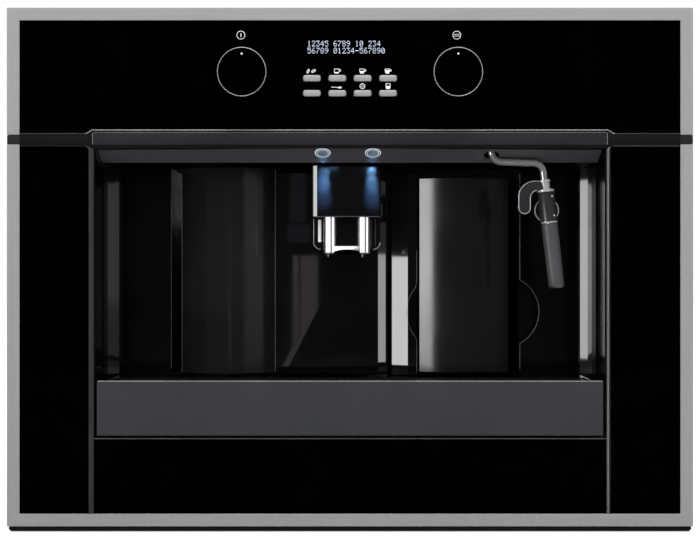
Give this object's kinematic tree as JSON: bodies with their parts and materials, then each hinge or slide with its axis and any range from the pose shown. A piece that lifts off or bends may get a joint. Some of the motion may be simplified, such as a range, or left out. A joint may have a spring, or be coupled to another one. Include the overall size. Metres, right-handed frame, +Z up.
{
  "type": "built-in coffee machine",
  "caption": "Built-in coffee machine with black control glass, stainless trim, lit niche, height-adjustable twin spout, service door, pull-out tank and tray, and a swivelling steam wand.",
  "frame": {"origin": "bottom centre of the bounding box, on the shelf", "axes": "+X to the viewer's right, +Y towards the back, +Z up; the front faces -Y"},
  "size_m": [0.595, 0.414, 0.455],
  "materials": {
    "stainless": "brushed",
    "polished_metal": "polished",
    "black_glass": "gloss",
    "lens_glass": "clear",
    "black_gloss": "gloss",
    "dark_satin": "satin",
    "tray_grey": "satin",
    "silver_keys": "satin metallic",
    "galvanised": "zinc",
    "rail_steel": "zinc",
    "aluminium_strip": "brushed",
    "cast_aluminium": "cast",
    "grey_plastic": "satin",
    "smoked_plastic": "gloss",
    "board_green": "matte"
  },
  "bodies": {
    "cabinet_base": {"base_plate": "galvanised", "outer_rails": "rail_steel"},
    "rail_carriers": {"middle_rails": "rail_steel"},
    "machine": {"inner_rails": "rail_steel", "chassis_pan": "galvanised", "side_panels": "galvanised", "rear_panel": "galvanised", "top_cover": "galvanised", "front_carrier": "dark_satin", "control_glass": "black_glass", "upper_trim": "stainless", "centre_band": "dark_satin", "lower_trim": "stainless", "side_glasses": "black_glass", "lower_glass": "black_glass", "bottom_strip": "dark_satin", "niche_edge_strips": "aluminium_strip", "liner_left": "black_gloss", "liner_right": "black_gloss", "niche_ceiling": "dark_satin", "lamp_lenses": "lens_glass", "centre_pillar": "black_gloss", "tray_bed": "galvanised", "inner_frame": "galvanised", "brew_unit": "grey_plastic", "thermoblock": "cast_aluminium", "water_pump": "grey_plastic", "grinder": "grey_plastic", "bean_hopper": "smoked_plastic", "power_board": "board_green", "mains_inlet": "dark_satin", "wand_socket": "rail_steel", "control_board": "board_green"},
    "selector": {"selector_knob": "black_gloss"},
    "steam_control": {"steam_knob": "black_gloss"},
    "door": {"service_door": "black_gloss", "grounds_container": "grey_plastic"},
    "coffee_spout": {"spout_housing": "black_gloss", "spout_nozzles": "polished_metal"},
    "water_tank": {"tank_body": "smoked_plastic", "tank_lid": "dark_satin", "tank_front": "black_gloss"},
    "drip_tray": {"tray_front": "tray_grey", "tray_tub": "dark_satin"},
    "grid": {"cup_grid": "stainless"},
    "steam_wand": {"wand_tube": "polished_metal", "wand_handle": "dark_satin"},
    "sleeve": {"froth_sleeve": "dark_satin"},
    "dial": {"froth_dial": "dark_satin"},
    "hopper_lid": {"bean_lid": "dark_satin"},
    "grind_adjuster": {"grind_knob": "dark_satin"},
    "mains_switch": {"power_switch": "dark_satin"},
    "button_1": {"key_1": "silver_keys"},
    "button_2": {"key_2": "silver_keys"},
    "button_3": {"key_3": "silver_keys"},
    "button_4": {"key_4": "silver_keys"},
    "button_5": {"key_5": "silver_keys"},
    "button_6": {"key_6": "silver_keys"},
    "button_7": {"key_7": "silver_keys"},
    "button_8": {"key_8": "silver_keys"}
  },
  "joints": [
    {"name": "machine_slide", "type": "slide", "parent": "cabinet_base", "child": "machine", "axis": [0, -1, 0], "range_m": [0, 0.3]},
    {"name": "rail_slide", "type": "slide", "parent": "cabinet_base", "child": "rail_carriers", "axis": [0, -1, 0], "range_m": [0, 0.15]},
    {"name": "selector_turn", "type": "hinge", "parent": "machine", "child": "selector", "pos_m": [-0.0929, -0.191, 0.3976], "axis": [0, -1, 0], "continuous": true},
    {"name": "steam_turn", "type": "hinge", "parent": "machine", "child": "steam_control", "pos_m": [0.0929, -0.191, 0.3976], "axis": [0, 1, 0], "range_deg": [0, 90]},
    {"name": "key_1_press", "type": "slide", "parent": "machine", "child": "button_1", "axis": [0, 1, 0], "range_m": [0, 0.001], "stiffness_N_per_m": 800},
    {"name": "key_2_press", "type": "slide", "parent": "machine", "child": "button_2", "axis": [0, 1, 0], "range_m": [0, 0.001], "stiffness_N_per_m": 800},
    {"name": "key_3_press", "type": "slide", "parent": "machine", "child": "button_3", "axis": [0, 1, 0], "range_m": [0, 0.001], "stiffness_N_per_m": 800},
    {"name": "key_4_press", "type": "slide", "parent": "machine", "child": "button_4", "axis": [0, 1, 0], "range_m": [0, 0.001], "stiffness_N_per_m": 800},
    {"name": "key_5_press", "type": "slide", "parent": "machine", "child": "button_5", "axis": [0, 1, 0], "range_m": [0, 0.001], "stiffness_N_per_m": 800},
    {"name": "key_6_press", "type": "slide", "parent": "machine", "child": "button_6", "axis": [0, 1, 0], "range_m": [0, 0.001], "stiffness_N_per_m": 800},
    {"name": "key_7_press", "type": "slide", "parent": "machine", "child": "button_7", "axis": [0, 1, 0], "range_m": [0, 0.001], "stiffness_N_per_m": 800},
    {"name": "key_8_press", "type": "slide", "parent": "machine", "child": "button_8", "axis": [0, 1, 0], "range_m": [0, 0.001], "stiffness_N_per_m": 800},
    {"name": "door_swing", "type": "hinge", "parent": "machine", "child": "door", "pos_m": [-0.152, -0.078, 0.2], "axis": [0, 0, -1], "range_deg": [0, 85]},
    {"name": "spout_height", "type": "slide", "parent": "door", "child": "coffee_spout", "axis": [0, 0, 1], "range_m": [-0.04, 0]},
    {"name": "tank_slide", "type": "slide", "parent": "machine", "child": "water_tank", "axis": [0, -1, 0], "range_m": [0, 0.2]},
    {"name": "tray_slide", "type": "slide", "parent": "machine", "child": "drip_tray", "axis": [0, -1, 0], "range_m": [0, 0.12]},
    {"name": "grid_lift", "type": "slide", "parent": "drip_tray", "child": "grid", "axis": [0, 0, -1], "range_m": [-0.04, 0]},
    {"name": "wand_swivel", "type": "hinge", "parent": "machine", "child": "steam_wand", "pos_m": [0.1241, -0.175, 0.33], "axis": [0, 0, 1], "range_deg": [-80, 0]},
    {"name": "sleeve_pull", "type": "slide", "parent": "steam_wand", "child": "sleeve", "axis": [0.1132, 0, -0.9936], "range_m": [0, 0.055]},
    {"name": "dial_turn", "type": "hinge", "parent": "steam_wand", "child": "dial", "pos_m": [0.17342, -0.165, 0.28011], "axis": [0, 1, 0], "range_deg": [0, 90]},
    {"name": "lid_open", "type": "hinge", "parent": "machine", "child": "hopper_lid", "pos_m": [-0.09, 0.139, 0.4418], "axis": [-1, 0, 0], "range_deg": [0, 80]},
    {"name": "grind_turn", "type": "hinge", "parent": "machine", "child": "grind_adjuster", "pos_m": [0.005, 0.074, 0.445], "axis": [0, 0, 1], "range_deg": [0, 270]},
    {"name": "switch_rock", "type": "hinge", "parent": "machine", "child": "mains_switch", "pos_m": [0.165, 0.1975, 0.15], "axis": [1, 0, 0], "range_deg": [0, 20]}
  ],
  "couplings": [
    {"joint": "rail_slide", "follows": "machine_slide", "ratio": 0.5}
  ]
}
